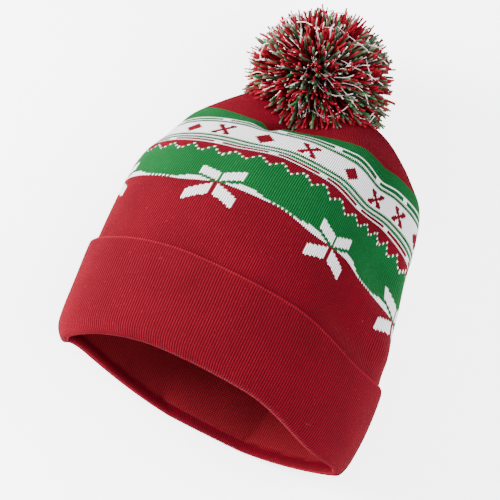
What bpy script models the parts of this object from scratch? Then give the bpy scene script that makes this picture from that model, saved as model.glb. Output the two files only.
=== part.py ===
"""A knitted winter hat with a turned-up cuff and a yarn pompom, lying on its back.

The hat lies along +Y: the opening faces -Y, the pompom is at +Y, the front of the
hat faces up (+Z), and its back is flattened on the surface below. Metres.
"""
import math

import bmesh
import bpy
import numpy as np
from mathutils import Matrix, Vector
from mathutils.bvhtree import BVHTree

# Driving sizes of the hat
HAT_LENGTH = 0.223        # from the rim to the top of the crown
LEFT_HALF_WIDTH = 0.0995  # from the axis to the body's left side
RIGHT_HALF_WIDTH = 0.0995
FRONT_DEPTH = 0.0695      # from the axis up to the body's front
BACK_DEPTH = 0.038        # from the axis down to the surface that the hat lies on
BODY_WALL = 0.0025        # one layer of knit
CUFF_WALL = 0.0032        # the turned-up layer, which is a little thicker
CUFF_HEIGHT = 0.066
FIT_GAP = 0.0003          # between pieces that touch
EDGE_ROOM = 0.0016        # between the body's edge and the fold that closes over it

# Driving sizes of the pompom and of the thread that holds it
POMPOM_RADIUS = 0.045
POMPOM_LEAN = -0.009      # how far the pompom droops to the left of the gather
POMPOM_RISE = 0.0095      # from the top of the crown to the pompom's middle
POMPOM_HEAD_SHARE = 0.62  # solid head, as a share of the radius
LOCK_SPREAD = 0.16        # how unevenly the locks of yarn are cut
LOCK_FLARE = 1.25         # how much wider a lock is at its tip than at its root
LOCK_ROOM = 0.003         # a lock is left out where its tip would come closer to the crown
SEAT_SEARCH = 0.004       # how far round a place the crown's height is looked for
TIE_RADIUS = 0.003
TIE_KNOT_RADIUS = 0.0075
TIE_KNOT_HEIGHT = 0.004
TIE_REACH = 0.016         # how far the thread goes up into the pompom

# How finely the soft forms are faceted
COLUMNS_AROUND = 60
ROWS_UNDER_CUFF = 6
ROWS_ALONG = 15
BEND_STEPS = 6
LOCK_SUBDIVISIONS = 3

# Sections of the body, from the rim to the gathered top. along is the share of the
# knitted length; the y columns are shares of HAT_LENGTH, the x columns of the two half
# widths, z_front and z_side of FRONT_DEPTH, z_back of BACK_DEPTH; roundness goes from 0,
# a lens whose sides come to a corner, to 1, an ellipse; skew is how far the front swings
# to the right and the back to the left, a share of the mean half width.
SECTION_COLUMNS = ("along", "y_left", "y_right", "y_front", "y_back", "x_left", "x_right",
                   "z_front", "z_side", "z_back", "roundness", "skew")
SECTIONS = (
    (0.000, 0.019, 0.016, 0.013, -0.004, 0.870, 0.925, 0.950, 0.000, 0.980, 0.00, -0.10),
    (0.030, 0.046, 0.042, 0.041, 0.025, 0.925, 0.952, 0.960, 0.000, 0.990, 0.00, -0.10),
    (0.075, 0.086, 0.080, 0.082, 0.068, 0.948, 0.966, 0.970, 0.000, 1.000, 0.05, -0.10),
    (0.170, 0.176, 0.164, 0.170, 0.165, 0.970, 0.975, 0.985, 0.000, 1.020, 0.10, -0.10),
    (0.296, 0.302, 0.283, 0.283, 0.290, 1.000, 0.960, 1.000, 0.000, 1.060, 0.15, -0.09),
    (0.520, 0.508, 0.490, 0.511, 0.500, 1.030, 0.885, 0.965, 0.000, 1.080, 0.25, -0.03),
    (0.640, 0.598, 0.602, 0.626, 0.605, 1.010, 0.830, 0.914, 0.000, 1.040, 0.35, 0.00),
    (0.710, 0.664, 0.690, 0.695, 0.675, 0.952, 0.800, 0.852, 0.000, 0.980, 0.45, 0.02),
    (0.772, 0.715, 0.765, 0.754, 0.740, 0.912, 0.760, 0.812, 0.005, 0.900, 0.55, 0.04),
    (0.810, 0.763, 0.815, 0.789, 0.785, 0.872, 0.712, 0.771, 0.010, 0.850, 0.65, 0.05),
    (0.852, 0.822, 0.846, 0.828, 0.830, 0.780, 0.645, 0.705, 0.018, 0.770, 0.75, 0.06),
    (0.905, 0.895, 0.908, 0.892, 0.890, 0.640, 0.505, 0.570, 0.035, 0.620, 0.90, 0.05),
    (0.945, 0.950, 0.960, 0.948, 0.942, 0.510, 0.348, 0.400, 0.055, 0.420, 1.00, 0.03),
    (0.975, 0.982, 0.990, 0.984, 0.975, 0.350, 0.135, 0.250, 0.072, 0.180, 1.00, 0.00),
    (1.000, 0.980, 0.982, 0.980, 0.978, 0.185, -0.095, 0.147, 0.082, -0.032, 1.00, 0.00),
)

# Dents and swells of the knit. angle is measured in degrees from the front towards the
# right side; wide_left and wide_right are how far it reaches that way, in degrees;
# along, rise and fall are where it is deepest and how far it reaches towards the rim
# and towards the top, in shares of the knitted length; depth is a share of FRONT_DEPTH,
# and a negative one is a swell.
FOLD_COLUMNS = ("name", "angle", "wide_left", "wide_right", "along", "rise", "fall", "depth")
FOLDS = (
    ("valley under the pompom", -26.0, 46.0, 44.0, 0.880, 0.150, 0.120, 0.190),
    ("crease in the valley", -25.0, 8.0, 8.0, 0.840, 0.090, 0.150, 0.050),
    ("right lobe", 24.0, 24.0, 34.0, 0.850, 0.120, 0.080, -0.035),
    ("hollow of the right side", 52.0, 24.0, 26.0, 0.570, 0.120, 0.120, 0.100),
    ("hollow above the cuff", 46.0, 24.0, 26.0, 0.370, 0.070, 0.110, 0.060),
    ("swell by the hollow", 74.0, 16.0, 18.0, 0.380, 0.080, 0.110, -0.040),
    ("dip of the left front", -48.0, 26.0, 30.0, 0.400, 0.090, 0.150, 0.020),
)

# Small pleats that the drawn-in top makes
PLEAT_COUNT = 13
PLEAT_START = 0.86
PLEAT_DEPTH = 0.0016

# Power of the cosine that draws a lens; an ellipse has 1
LENS_POWER = 2.0

# Colours of the plain model, with roughness
MATERIALS = {
    "knit": ((0.42, 0.015, 0.03, 1.0), 0.95),
    "cuff_knit": ((0.30, 0.012, 0.022, 1.0), 0.95),
    "pompom_yarn": ((0.22, 0.06, 0.05, 1.0), 0.98),
    "tie_thread": ((0.36, 0.014, 0.025, 1.0), 0.9),
}


def clear_scene():
    for item in list(bpy.data.objects):
        bpy.data.objects.remove(item, do_unlink=True)


def make_material(name):
    colour, roughness = MATERIALS[name]
    material = bpy.data.materials.new(name)
    material.use_nodes = True
    shader = material.node_tree.nodes["Principled BSDF"]
    shader.inputs["Base Color"].default_value = colour
    shader.inputs["Roughness"].default_value = roughness
    shader.inputs["Metallic"].default_value = 0.0
    return material


def smooth_step(value):
    value = min(1.0, max(0.0, value))
    return value * value * (3.0 - 2.0 * value)


def section_at(along):
    """The section at one share of the knitted length, by a smooth curve through the table."""
    table = np.array(SECTIONS)
    keys = table[:, 0]
    last = len(keys) - 1
    index = int(np.clip(np.searchsorted(keys, along) - 1, 0, last - 1))
    span = keys[index + 1] - keys[index]
    share = (along - keys[index]) / span

    def slope(at):
        before = max(at - 1, 0)
        after = min(at + 1, last)
        return (table[after] - table[before]) / (keys[after] - keys[before])

    square = share * share
    cube = square * share
    values = ((2 * cube - 3 * square + 1) * table[index]
              + (cube - 2 * square + share) * span * slope(index)
              + (3 * square - 2 * cube) * table[index + 1]
              + (cube - square) * span * slope(index + 1))
    return dict(zip(SECTION_COLUMNS, values))


def fold_depth(angle, along):
    """How far the knit is pushed in at one place, in metres."""
    degrees = math.degrees(angle)
    total = 0.0
    for row in FOLDS:
        fold = dict(zip(FOLD_COLUMNS, row))
        turn = (degrees - fold["angle"] + 180.0) % 360.0 - 180.0
        reach = fold["wide_left"] if turn < 0 else fold["wide_right"]
        run = along - fold["along"]
        length = fold["rise"] if run < 0 else fold["fall"]
        across = smooth_step(1.0 - abs(turn) / reach)
        lengthwise = smooth_step(1.0 - abs(run) / length)
        total += fold["depth"] * FRONT_DEPTH * across * lengthwise
    return total


def raw_point(angle, along, floor_rise=0.0):
    """A point of the body's outer face, flattened where it lies on the surface below."""
    row = section_at(along)
    sine = math.sin(angle)
    cosine = math.cos(angle)
    left = -row["x_left"] * LEFT_HALF_WIDTH
    right = row["x_right"] * RIGHT_HALF_WIDTH
    x = (left + right) / 2 + (right - left) / 2 * sine
    x += row["skew"] * (LEFT_HALF_WIDTH + RIGHT_HALF_WIDTH) / 2 * cosine
    lens = LENS_POWER + (1.0 - LENS_POWER) * row["roundness"]
    side_z = row["z_side"] * FRONT_DEPTH
    side_y = row["y_left"] + (row["y_right"] - row["y_left"]) * (1.0 + sine) / 2
    if cosine >= 0:
        z = side_z + (row["z_front"] * FRONT_DEPTH - side_z) * cosine
        end_y = row["y_front"]
    else:
        z = side_z - (row["z_back"] * BACK_DEPTH + side_z) * (-cosine) ** lens
        end_y = row["y_back"]
    y = HAT_LENGTH * (side_y + (end_y - side_y) * cosine * cosine)
    z = max(z, floor_rise - BACK_DEPTH)
    return Vector((x, y, z))


def outward(angle, along):
    """The outward direction of the body's face."""
    step_angle = math.radians(1.5)
    step_along = 0.006
    low = max(along - step_along, 0.0)
    high = min(along + step_along, 1.0)
    up = raw_point(angle, high) - raw_point(angle, low)
    around = raw_point(angle + step_angle, along) - raw_point(angle - step_angle, along)
    return around.cross(up).normalized()


def knit_point(angle, along, offset, floor_rise):
    """A point at a distance from the body's outer face, with the folds and pleats."""
    point = raw_point(angle, along)
    normal = outward(angle, along)
    inward = fold_depth(angle, along)
    drawn_in = smooth_step((along - PLEAT_START) / (1.0 - PLEAT_START))
    near_hole = 1.0 - smooth_step((along - 0.97) / 0.03)
    inward += PLEAT_DEPTH * drawn_in * near_hole * (1.0 - math.cos(PLEAT_COUNT * angle)) / 2
    point = point + normal * (offset - inward)
    point.z = max(point.z, floor_rise - BACK_DEPTH)
    return point


def even_angles(count):
    """Angles whose points lie about evenly round the body's middle section."""
    samples = [2 * math.pi * step / 720 for step in range(721)]
    points = [raw_point(angle, 0.45) for angle in samples]
    lengths = [0.0]
    for first, second in zip(points, points[1:]):
        lengths.append(lengths[-1] + (second - first).length)
    targets = np.linspace(0.0, lengths[-1], count, endpoint=False)
    return list(np.interp(targets, lengths, samples))


def loft_ring(name, profile):
    """Sweeps a closed profile of (along, offset, floor rise) round the body."""
    shape = bmesh.new()
    angles = even_angles(COLUMNS_AROUND)
    rings = [[shape.verts.new(knit_point(angle, along, offset, floor_rise)) for angle in angles]
             for along, offset, floor_rise in profile]
    for first, second in zip(rings, rings[1:] + rings[:1]):
        for index in range(COLUMNS_AROUND):
            after = (index + 1) % COLUMNS_AROUND
            shape.faces.new((first[index], first[after], second[after], second[index]))
    bmesh.ops.recalc_face_normals(shape, faces=shape.faces)
    return finish_mesh(name, shape)


def finish_mesh(name, shape, material=None):
    mesh = bpy.data.meshes.new(name)
    shape.to_mesh(mesh)
    shape.free()
    if material:
        mesh.materials.append(material)
    return bpy.data.objects.new(name, mesh)


def dress(item, material):
    item.data.shade_smooth()
    item.data.materials.append(material)
    return item


def fold_share(height):
    """Share of the knitted length at a height above the rim."""
    return height / HAT_LENGTH


def fold_radius():
    """The outer radius of the fold that turns the cuff up."""
    return (BODY_WALL + FIT_GAP + CUFF_WALL) / 2


def shared_shares():
    """Where the body's outer face and the cuff's inner face both have a ring."""
    return list(np.linspace(fold_share(fold_radius() + EDGE_ROOM),
                            fold_share(CUFF_HEIGHT - CUFF_WALL / 2), ROWS_UNDER_CUFF))


def make_crown(material):
    """The hat's body: one wall from the folded rim to the hole of the gathered top."""
    top_of_cuff = fold_share(CUFF_HEIGHT)
    lift = CUFF_WALL + FIT_GAP
    shares = shared_shares() + list(np.linspace(top_of_cuff, 1.0, ROWS_ALONG))
    outer = []
    for share in shares:
        settle = 1.0 - smooth_step((share - top_of_cuff) / 0.07)
        outer.append((share, 0.0, lift * settle))
    inner = [(share, -BODY_WALL, rise + BODY_WALL) for share, _, rise in reversed(outer)]
    return dress(loft_ring("crown", outer + inner), material)


def make_cuff(material):
    """The turned-up band: its outer layer, and the fold that ends under the body's edge."""
    radius = fold_radius()
    middle = radius - BODY_WALL
    bend = []
    for step in range(BEND_STEPS + 1):
        turn = math.pi * step / BEND_STEPS
        share = fold_share(radius * (1.0 - math.sin(turn)))
        bend.append((share, middle - radius * math.cos(turn), 0.0))
    lip = CUFF_WALL / 2
    top = fold_share(CUFF_HEIGHT)
    lip_share = fold_share(lip)
    outer_face = FIT_GAP + CUFF_WALL
    outer = [(share, outer_face, 0.0)
             for share in np.linspace(fold_share(radius), top - lip_share, ROWS_UNDER_CUFF)[1:]]
    edge = [(top - 0.3 * lip_share, FIT_GAP + 0.85 * CUFF_WALL, 0.0),
            (top, FIT_GAP + 0.5 * CUFF_WALL, CUFF_WALL * 0.4),
            (top - 0.3 * lip_share, FIT_GAP + 0.15 * CUFF_WALL, CUFF_WALL * 0.85)]
    inner = [(share, FIT_GAP, CUFF_WALL) for share in reversed(shared_shares())]
    end = [(fold_share(radius), 0.0, CUFF_WALL + FIT_GAP)]
    return dress(loft_ring("cuff", bend + outer + edge + inner + end), material)


def gather_centre():
    """The middle of the hole that the gathered top leaves, at the height of its edge."""
    top = section_at(1.0)
    left = -top["x_left"] * LEFT_HALF_WIDTH
    right = top["x_right"] * RIGHT_HALF_WIDTH
    return Vector(((left + right) / 2, HAT_LENGTH * top["y_front"], top["z_side"] * FRONT_DEPTH))


def tie_solid(name, clearance):
    """The thread's knot inside the crown and its shank up into the pompom."""
    middle = gather_centre()
    under = min(knit_point(math.radians(turn), share, -BODY_WALL, 0.0).y
                for turn in range(0, 360, 15) for share in (0.97, 0.985, 1.0))
    knot_top = under - FIT_GAP
    profile = ((0.0, knot_top - TIE_KNOT_HEIGHT - clearance),
               (TIE_KNOT_RADIUS * 0.7 + clearance, knot_top - TIE_KNOT_HEIGHT - clearance),
               (TIE_KNOT_RADIUS + clearance, knot_top - TIE_KNOT_HEIGHT * 0.5),
               (TIE_KNOT_RADIUS * 0.8 + clearance, knot_top + clearance),
               (TIE_RADIUS + clearance, knot_top + clearance),
               (TIE_RADIUS + clearance, middle.y + TIE_REACH + clearance),
               (0.0, middle.y + TIE_REACH + clearance))
    shape = bmesh.new()
    ring = [shape.verts.new((radius, height, 0.0)) for radius, height in profile]
    edges = [shape.edges.new(pair) for pair in zip(ring, ring[1:])]
    bmesh.ops.spin(shape, geom=ring + edges, cent=(0, 0, 0), axis=(0, 1, 0), dvec=(0, 0, 0),
                   angle=2 * math.pi, steps=12, use_merge=True, use_duplicate=False)
    bmesh.ops.remove_doubles(shape, verts=shape.verts, dist=0.00001)
    bmesh.ops.recalc_face_normals(shape, faces=shape.faces)
    shape.transform(Matrix.Translation((middle.x, 0.0, middle.z)))
    return finish_mesh(name, shape)


def pompom_centre():
    return Vector((gather_centre().x + POMPOM_LEAN, HAT_LENGTH + POMPOM_RISE,
                   POMPOM_RADIUS - BACK_DEPTH))


def lock_length(index):
    """A steady spread of lengths, so that the locks look cut by hand."""
    wave = math.sin(index * 12.9898) * 43758.5453
    return 1.0 - LOCK_SPREAD * (wave - math.floor(wave))


def seat_height(seat, x, z):
    """How high the crown reaches along the hat's length near one place."""
    heights = []
    for turn in range(0, 360, 45):
        for radius in (0.0, SEAT_SEARCH / 2, SEAT_SEARCH):
            start = Vector((x + radius * math.cos(math.radians(turn)), HAT_LENGTH * 2,
                            z + radius * math.sin(math.radians(turn))))
            hit = seat.ray_cast(start, Vector((0, -1, 0)))[0]
            if hit is not None:
                heights.append(hit.y)
    return max(heights, default=-1.0)


def make_pompom(material, crown, cutter):
    """A head of yarn whose faces are drawn out into locks, set on the crown and the floor."""
    centre = pompom_centre()
    seat = BVHTree.FromObject(crown, bpy.context.evaluated_depsgraph_get())
    shape = bmesh.new()
    bmesh.ops.create_icosphere(shape, subdivisions=LOCK_SUBDIVISIONS,
                               radius=POMPOM_RADIUS * POMPOM_HEAD_SHARE)
    locks = list(shape.faces)
    bmesh.ops.inset_individual(shape, faces=locks, thickness=POMPOM_RADIUS * 0.008)
    for index, face in enumerate(locks):
        reach = POMPOM_RADIUS * lock_length(index)
        tip = centre + face.calc_center_median().normalized() * reach
        if tip.y < seat_height(seat, tip.x, tip.z) + LOCK_ROOM:
            continue
        grown = bmesh.ops.extrude_discrete_faces(shape, faces=[face])["faces"][0]
        middle = grown.calc_center_median()
        for vert in grown.verts:
            across = vert.co - middle
            vert.co = middle.normalized() * reach + across * LOCK_FLARE
    shape.transform(Matrix.Translation(centre))
    for vert in shape.verts:
        height = seat_height(seat, vert.co.x, vert.co.z)
        vert.co.y = max(vert.co.y, height + FIT_GAP)
        vert.co.z = max(vert.co.z, -BACK_DEPTH)
    bmesh.ops.recalc_face_normals(shape, faces=shape.faces)
    pompom = finish_mesh("pompom", shape, material)
    pocket = pompom.modifiers.new("pocket for the tie", "BOOLEAN")
    pocket.operation = "DIFFERENCE"
    pocket.solver = "EXACT"
    pocket.object = cutter
    return pompom


def stand_on_origin(pieces):
    """Moves the pieces together, so that the middle of their box's underside is the origin."""
    corners = [vert.co for piece in pieces for vert in piece.data.vertices]
    low = Vector([min(corner[axis] for corner in corners) for axis in range(3)])
    high = Vector([max(corner[axis] for corner in corners) for axis in range(3)])
    shift = Vector(((low.x + high.x) / 2, (low.y + high.y) / 2, low.z))
    for item in bpy.data.objects:
        item.data.transform(Matrix.Translation(-shift))


def main():
    clear_scene()
    parts = bpy.data.collections.new("pompom_hat")
    tools = bpy.data.collections.new("cutters")
    for collection in (parts, tools):
        bpy.context.scene.collection.children.link(collection)
    cutter = tie_solid("tie_cutter", FIT_GAP)
    cutter.hide_render = True
    cutter.display_type = "WIRE"
    tools.objects.link(cutter)
    crown = make_crown(make_material("knit"))
    cuff = make_cuff(make_material("cuff_knit"))
    tie = dress(tie_solid("pompom_tie", 0.0), make_material("tie_thread"))
    for piece in (crown, cuff, tie):
        parts.objects.link(piece)
    bpy.context.view_layer.update()
    pompom = make_pompom(make_material("pompom_yarn"), crown, cutter)
    parts.objects.link(pompom)
    stand_on_origin((crown, cuff, tie, pompom))


main()
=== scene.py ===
"""The look of a knitted pompom hat that lies on its back: its stitches, its yarn and its light.

Lengths are metres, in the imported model's frame: +Y from the opening to the pompom, +Z up.
"""

import math

import bpy
import numpy as np
from mathutils import Matrix, Vector
from mathutils.bvhtree import BVHTree


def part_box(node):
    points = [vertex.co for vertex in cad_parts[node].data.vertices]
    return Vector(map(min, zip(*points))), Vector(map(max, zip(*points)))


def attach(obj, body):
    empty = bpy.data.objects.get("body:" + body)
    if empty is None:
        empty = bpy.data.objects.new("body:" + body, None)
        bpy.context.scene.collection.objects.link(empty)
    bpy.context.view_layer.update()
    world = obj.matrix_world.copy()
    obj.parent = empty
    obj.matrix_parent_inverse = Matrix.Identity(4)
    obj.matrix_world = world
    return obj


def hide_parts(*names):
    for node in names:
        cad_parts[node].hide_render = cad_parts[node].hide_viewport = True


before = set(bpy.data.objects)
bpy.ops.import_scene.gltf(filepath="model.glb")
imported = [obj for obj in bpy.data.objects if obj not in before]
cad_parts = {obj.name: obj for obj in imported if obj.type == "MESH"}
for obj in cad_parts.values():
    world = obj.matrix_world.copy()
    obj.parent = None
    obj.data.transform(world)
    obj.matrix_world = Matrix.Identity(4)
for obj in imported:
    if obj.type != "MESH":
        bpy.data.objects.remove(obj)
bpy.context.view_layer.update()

# The plain model's sizes, which the knit follows
HAT_LENGTH = 0.223
HALF_WIDTH = 0.0995
FRONT_DEPTH = 0.0695
BACK_DEPTH = 0.038
BODY_WALL = 0.0025
CUFF_WALL = 0.0032
CUFF_HEIGHT = 0.066
FIT_GAP = 0.0003
POMPOM_RADIUS = 0.045
POMPOM_LEAN = -0.009
POMPOM_RISE = 0.0095
PLEAT_COUNT = 13
PLEAT_START = 0.86
PLEAT_DEPTH = 0.0016
LENS_POWER = 2.0

# Sections of the body from the rim to the gathered top, as in the plain model
SECTION_COLUMNS = ("along", "y_left", "y_right", "y_front", "y_back", "x_left", "x_right",
                   "z_front", "z_side", "z_back", "roundness", "skew")
SECTIONS = (
    (0.000, 0.019, 0.016, 0.013, -0.004, 0.870, 0.925, 0.950, 0.000, 0.980, 0.00, -0.10),
    (0.030, 0.046, 0.042, 0.041, 0.025, 0.925, 0.952, 0.960, 0.000, 0.990, 0.00, -0.10),
    (0.075, 0.086, 0.080, 0.082, 0.068, 0.948, 0.966, 0.970, 0.000, 1.000, 0.05, -0.10),
    (0.170, 0.176, 0.164, 0.170, 0.165, 0.970, 0.975, 0.985, 0.000, 1.020, 0.10, -0.10),
    (0.296, 0.302, 0.283, 0.283, 0.290, 1.000, 0.960, 1.000, 0.000, 1.060, 0.15, -0.09),
    (0.520, 0.508, 0.490, 0.511, 0.500, 1.030, 0.885, 0.965, 0.000, 1.080, 0.25, -0.03),
    (0.640, 0.598, 0.602, 0.626, 0.605, 1.010, 0.830, 0.914, 0.000, 1.040, 0.35, 0.00),
    (0.710, 0.664, 0.690, 0.695, 0.675, 0.952, 0.800, 0.852, 0.000, 0.980, 0.45, 0.02),
    (0.772, 0.715, 0.765, 0.754, 0.740, 0.912, 0.760, 0.812, 0.005, 0.900, 0.55, 0.04),
    (0.810, 0.763, 0.815, 0.789, 0.785, 0.872, 0.712, 0.771, 0.010, 0.850, 0.65, 0.05),
    (0.852, 0.822, 0.846, 0.828, 0.830, 0.780, 0.645, 0.705, 0.018, 0.770, 0.75, 0.06),
    (0.905, 0.895, 0.908, 0.892, 0.890, 0.640, 0.505, 0.570, 0.035, 0.620, 0.90, 0.05),
    (0.945, 0.950, 0.960, 0.948, 0.942, 0.510, 0.348, 0.400, 0.055, 0.420, 1.00, 0.03),
    (0.975, 0.982, 0.990, 0.984, 0.975, 0.350, 0.135, 0.250, 0.072, 0.180, 1.00, 0.00),
    (1.000, 0.980, 0.982, 0.980, 0.978, 0.185, -0.095, 0.147, 0.082, -0.032, 1.00, 0.00),
)
FOLD_COLUMNS = ("name", "angle", "wide_left", "wide_right", "along", "rise", "fall", "depth")
FOLDS = (
    ("valley under the pompom", -26.0, 46.0, 44.0, 0.880, 0.150, 0.120, 0.190),
    ("crease in the valley", -25.0, 9.0, 6.0, 0.830, 0.100, 0.150, 0.100),
    ("right lobe", 24.0, 24.0, 34.0, 0.850, 0.120, 0.080, -0.035),
    ("hollow of the right side", 52.0, 24.0, 26.0, 0.570, 0.120, 0.120, 0.100),
    ("hollow above the cuff", 46.0, 24.0, 26.0, 0.370, 0.070, 0.110, 0.060),
    ("swell by the hollow", 74.0, 16.0, 18.0, 0.380, 0.080, 0.110, -0.040),
    ("dip of the left front", -48.0, 26.0, 30.0, 0.400, 0.090, 0.150, 0.020),
)
# Where the soft front sags towards the opening: angle, how far it reaches round, and depth
SAGS = ((54.0, 36.0, 0.0065), (-68.0, 50.0, 0.0055))
SAG_FROM, SAG_TO = 0.30, 0.62   # shares of the length between which the sags die out
SETTLE_REACH = 0.07             # share of the length over which the body settles on its back
FLATTEN_FROM, FLATTEN_REACH, FLATTENING = 0.93, 0.07, 0.6    # of the stitches near the gather
HOLE_FROM, HOLE_REACH = 0.97, 0.03                           # where the pleats end
LIP_TURN = 150.0                # degrees that the cuff's upper edge turns in

# The knit. Wales are its columns round the hat, counted from the middle of the front to
# the right; courses are its rows, counted from the boundary of red and green upwards.
WALES = 336
COURSE_PITCH = 0.00117
COURSE_RINGS = ((-48.0, 0.269), (0.0, 0.520), (23.0, 0.640), (37.0, 0.710), (49.0, 0.772),
                (55.0, 0.810), (64.0, 0.852), (92.0, 1.000))
COUNTING_SECTION = 0.45   # where the wales are counted out
EASE = 0.07               # how gradually their spacing changes, as a share of the front
# The body's wale at each share of the front's width, from the left side to the right side
FRONT_SHARES = (0.0, 0.333, 0.652, 0.78, 0.84, 0.935, 1.0)
FRONT_WALES = (-89.5, -29.0, 27.0, 60.0, 71.0, 83.5, 91.0)
GROOVE_DEPTH = 0.00050    # between two wales
CLEFT_DEPTH = 0.00013     # between the two legs of a stitch
LEG_RISE = 0.42           # how far a leg climbs from the middle of its wale, in courses
# Where each course begins: the green lines are knitted looser and the white ones tighter
LAID_COURSES = ((-48.0, -48.0), (26.0, 26.3), (29.0, 29.45), (30.0, 30.0), (32.0, 31.6),
                (33.0, 32.0), (34.0, 34.0), (36.0, 34.6), (37.0, 36.7), (49.0, 48.0),
                (50.0, 50.05), (51.0, 50.6), (54.0, 52.5), (55.0, 53.1), (64.0, 60.4), (92.0, 92.0))

# The courses at which the knitted pieces begin and end; cuff and inside have their own count
BODY_FROM, BANDS_FROM, BANDS_TO, BODY_TO = -48, 0, 64, 92
CUFF_TO = 68
INSIDE_FROM, INSIDE_HALFWAY, INSIDE_TO = 5, 61, 191
FAR_STEP = 2.0            # courses to a row of the far inside

# How the courses hang, in courses: they ride up over the middle of the front and sag at the
# sides. The ridge of the front leans from one wale at the boundary to another at the dashes.
RIDGE_WALE, RIDGE_WALE_ABOVE = -14.0, 6.0
RIDGE_RISE, RIDGE_RISE_ABOVE = 0.5, 1.5
RIDGE_TOP_COURSE = 42.0
SIDE_SAG = 3.5
RIDGE_WIDTH, SAG_WIDTH = 10.0, 24.0
# At the right side the green field spreads, so its lower edge hangs lower and the bands higher
SPREAD_FROM, SPREAD_TO = 35.0, 85.0
SPREAD_GROWS, SPREAD_FADES = 20.0, 30.0
SPREAD_LOW, SPREAD_HIGH, SPREAD_COURSES = -3.0, 1.6, 23.0
# The courses that hang, and over how many the hang grows from the cuff and fades at the top
HANG_FROM, HANG_GROWS = -44.0, 30.0
HANG_TO, HANG_FADES = 66.0, 18.0

# The pattern, in wales and courses
RED, GREEN, WHITE = 0, 1, 2
STAR_EVERY = 56
STAR_FROM = -29
# A star's petals: length, and the course, slant and height of its upper and lower ones
UPPER_LENGTH, UPPER_COURSE, UPPER_SLANT, UPPER_HEIGHT = 9, 1.0, 0.5, 5.6
LOWER_LENGTH, LOWER_COURSE, LOWER_SLANT, LOWER_HEIGHT = 10, -2.0, 0.45, 6.6
# The white crescent beside a star, in wales from the star's middle: where it shows first, where
# it starts, where it is thickest at the left and at the right, and how far it runs on from there
CRESCENT_SHOWS, CRESCENT_START, CRESCENT_LEFT, CRESCENT_RIGHT = 4, 2.0, 10.0, 12.0
CRESCENT_RUN = 13.0
CRESCENT_HEIGHT, CRESCENT_SUNK = 3.2, 0.2   # in courses
THIN_LINE_FROM = 20       # the dotted line between two crescents
ZIGZAG_COURSE, ZIGZAG_HEIGHT, ZIGZAG_TEETH, ZIGZAG_SHIFT = 23.2, 2.5, 33, 0.8
ZIGZAG_FIRST, ZIGZAG_LAST = 20, 26
ZIGZAG_LINE = 0.55        # half the height of the dotted white line along the zigzag
DASH_WALES = 4            # gap between two dashes
DASHES = ((14, 7.5, 30, 31), (12, 6.8, 51, 53))   # gaps, shift, first course, last course
MOTIF_COURSE = 38
CROSS_WALES = (-83, -45, -5, 39, 61, 103, 144, -146, -105)
DIAMOND_WALES = (-61, -25, 18, 82, 124, 165, -126)
DRAWN_OUT, DRAWN_OUT_FROM, DRAWN_OUT_REACH = 0.3, 25.0, 10.0   # motifs are wider at the right
# From the boundary up: first course, last course and colour of the plain rows
BANDS = (
    (0, 25, GREEN), (26, 28, RED), (29, 29, WHITE), (30, 31, RED), (32, 32, WHITE),
    (33, 33, GREEN), (34, 35, WHITE), (36, 36, GREEN), (37, 48, WHITE), (49, 49, GREEN),
    (50, 50, WHITE), (51, 53, GREEN), (54, 54, WHITE), (55, 63, GREEN),
)
CROSS_MOTIF = (
    "###...###",
    "###...###",
    ".###.###.",
    "..#####..",
    "...###...",
    "..#####..",
    ".###.###.",
    "###...###",
    "###...###",
)
DIAMOND_MOTIF = (
    "....#....",
    "...###...",
    "..#####..",
    ".#######.",
    "#########",
    ".#######.",
    "..#####..",
    "...###...",
    "....#....",
)

# The cuff's courses along its upper edge and along the rim that stand out in a lighter red: a
# painted highlight where the folds catch the light
HIGHLIT_CUFF_COURSES = ((3, 3), (60, 60))

# The view: how steeply the camera looks down, how far the picture is rolled, and the
# place in the middle of the picture, from the plain model's axis at the rim
CAMERA_ELEVATION = 68.0
CAMERA_ROLL = 27.0
CAMERA_DISTANCE = 1.3
METRES_PER_PIXEL = 0.000625
PICTURE_PIXELS = 500
SENSOR_WIDTH = 36.0
VIEW_MIDDLE = (-0.0136, 0.1087, 0.0)


# The hat's form

SECTION_TABLE = np.array(SECTIONS)
SECTION_KEYS = SECTION_TABLE[:, 0]


def smooth_step(value):
    value = np.clip(value, 0.0, 1.0)
    return value * value * (3.0 - 2.0 * value)


def section_at(along):
    """The sections at several shares of the knitted length, as a dictionary of arrays."""
    last = len(SECTION_KEYS) - 1
    index = np.clip(np.searchsorted(SECTION_KEYS, along) - 1, 0, last - 1)
    before = np.maximum(np.arange(last + 1) - 1, 0)
    after = np.minimum(np.arange(last + 1) + 1, last)
    slopes = ((SECTION_TABLE[after] - SECTION_TABLE[before])
              / (SECTION_KEYS[after] - SECTION_KEYS[before])[:, None])
    span = (SECTION_KEYS[index + 1] - SECTION_KEYS[index])[..., None]
    share = (along - SECTION_KEYS[index])[..., None] / span
    square = share * share
    cube = square * share
    values = ((2 * cube - 3 * square + 1) * SECTION_TABLE[index]
              + (cube - 2 * square + share) * span * slopes[index]
              + (3 * square - 2 * cube) * SECTION_TABLE[index + 1]
              + (cube - square) * span * slopes[index + 1])
    return {name: values[..., column] for column, name in enumerate(SECTION_COLUMNS)}


def fold_depth(angle, along):
    degrees = np.degrees(angle)
    total = np.zeros(np.broadcast(angle, along).shape)
    for row in FOLDS:
        fold = dict(zip(FOLD_COLUMNS, row))
        turn = (degrees - fold["angle"] + 180.0) % 360.0 - 180.0
        reach = np.where(turn < 0, fold["wide_left"], fold["wide_right"])
        run = along - fold["along"]
        length = np.where(run < 0, fold["rise"], fold["fall"])
        total = total + (fold["depth"] * FRONT_DEPTH * smooth_step(1.0 - np.abs(turn) / reach)
                         * smooth_step(1.0 - np.abs(run) / length))
    return total


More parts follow.
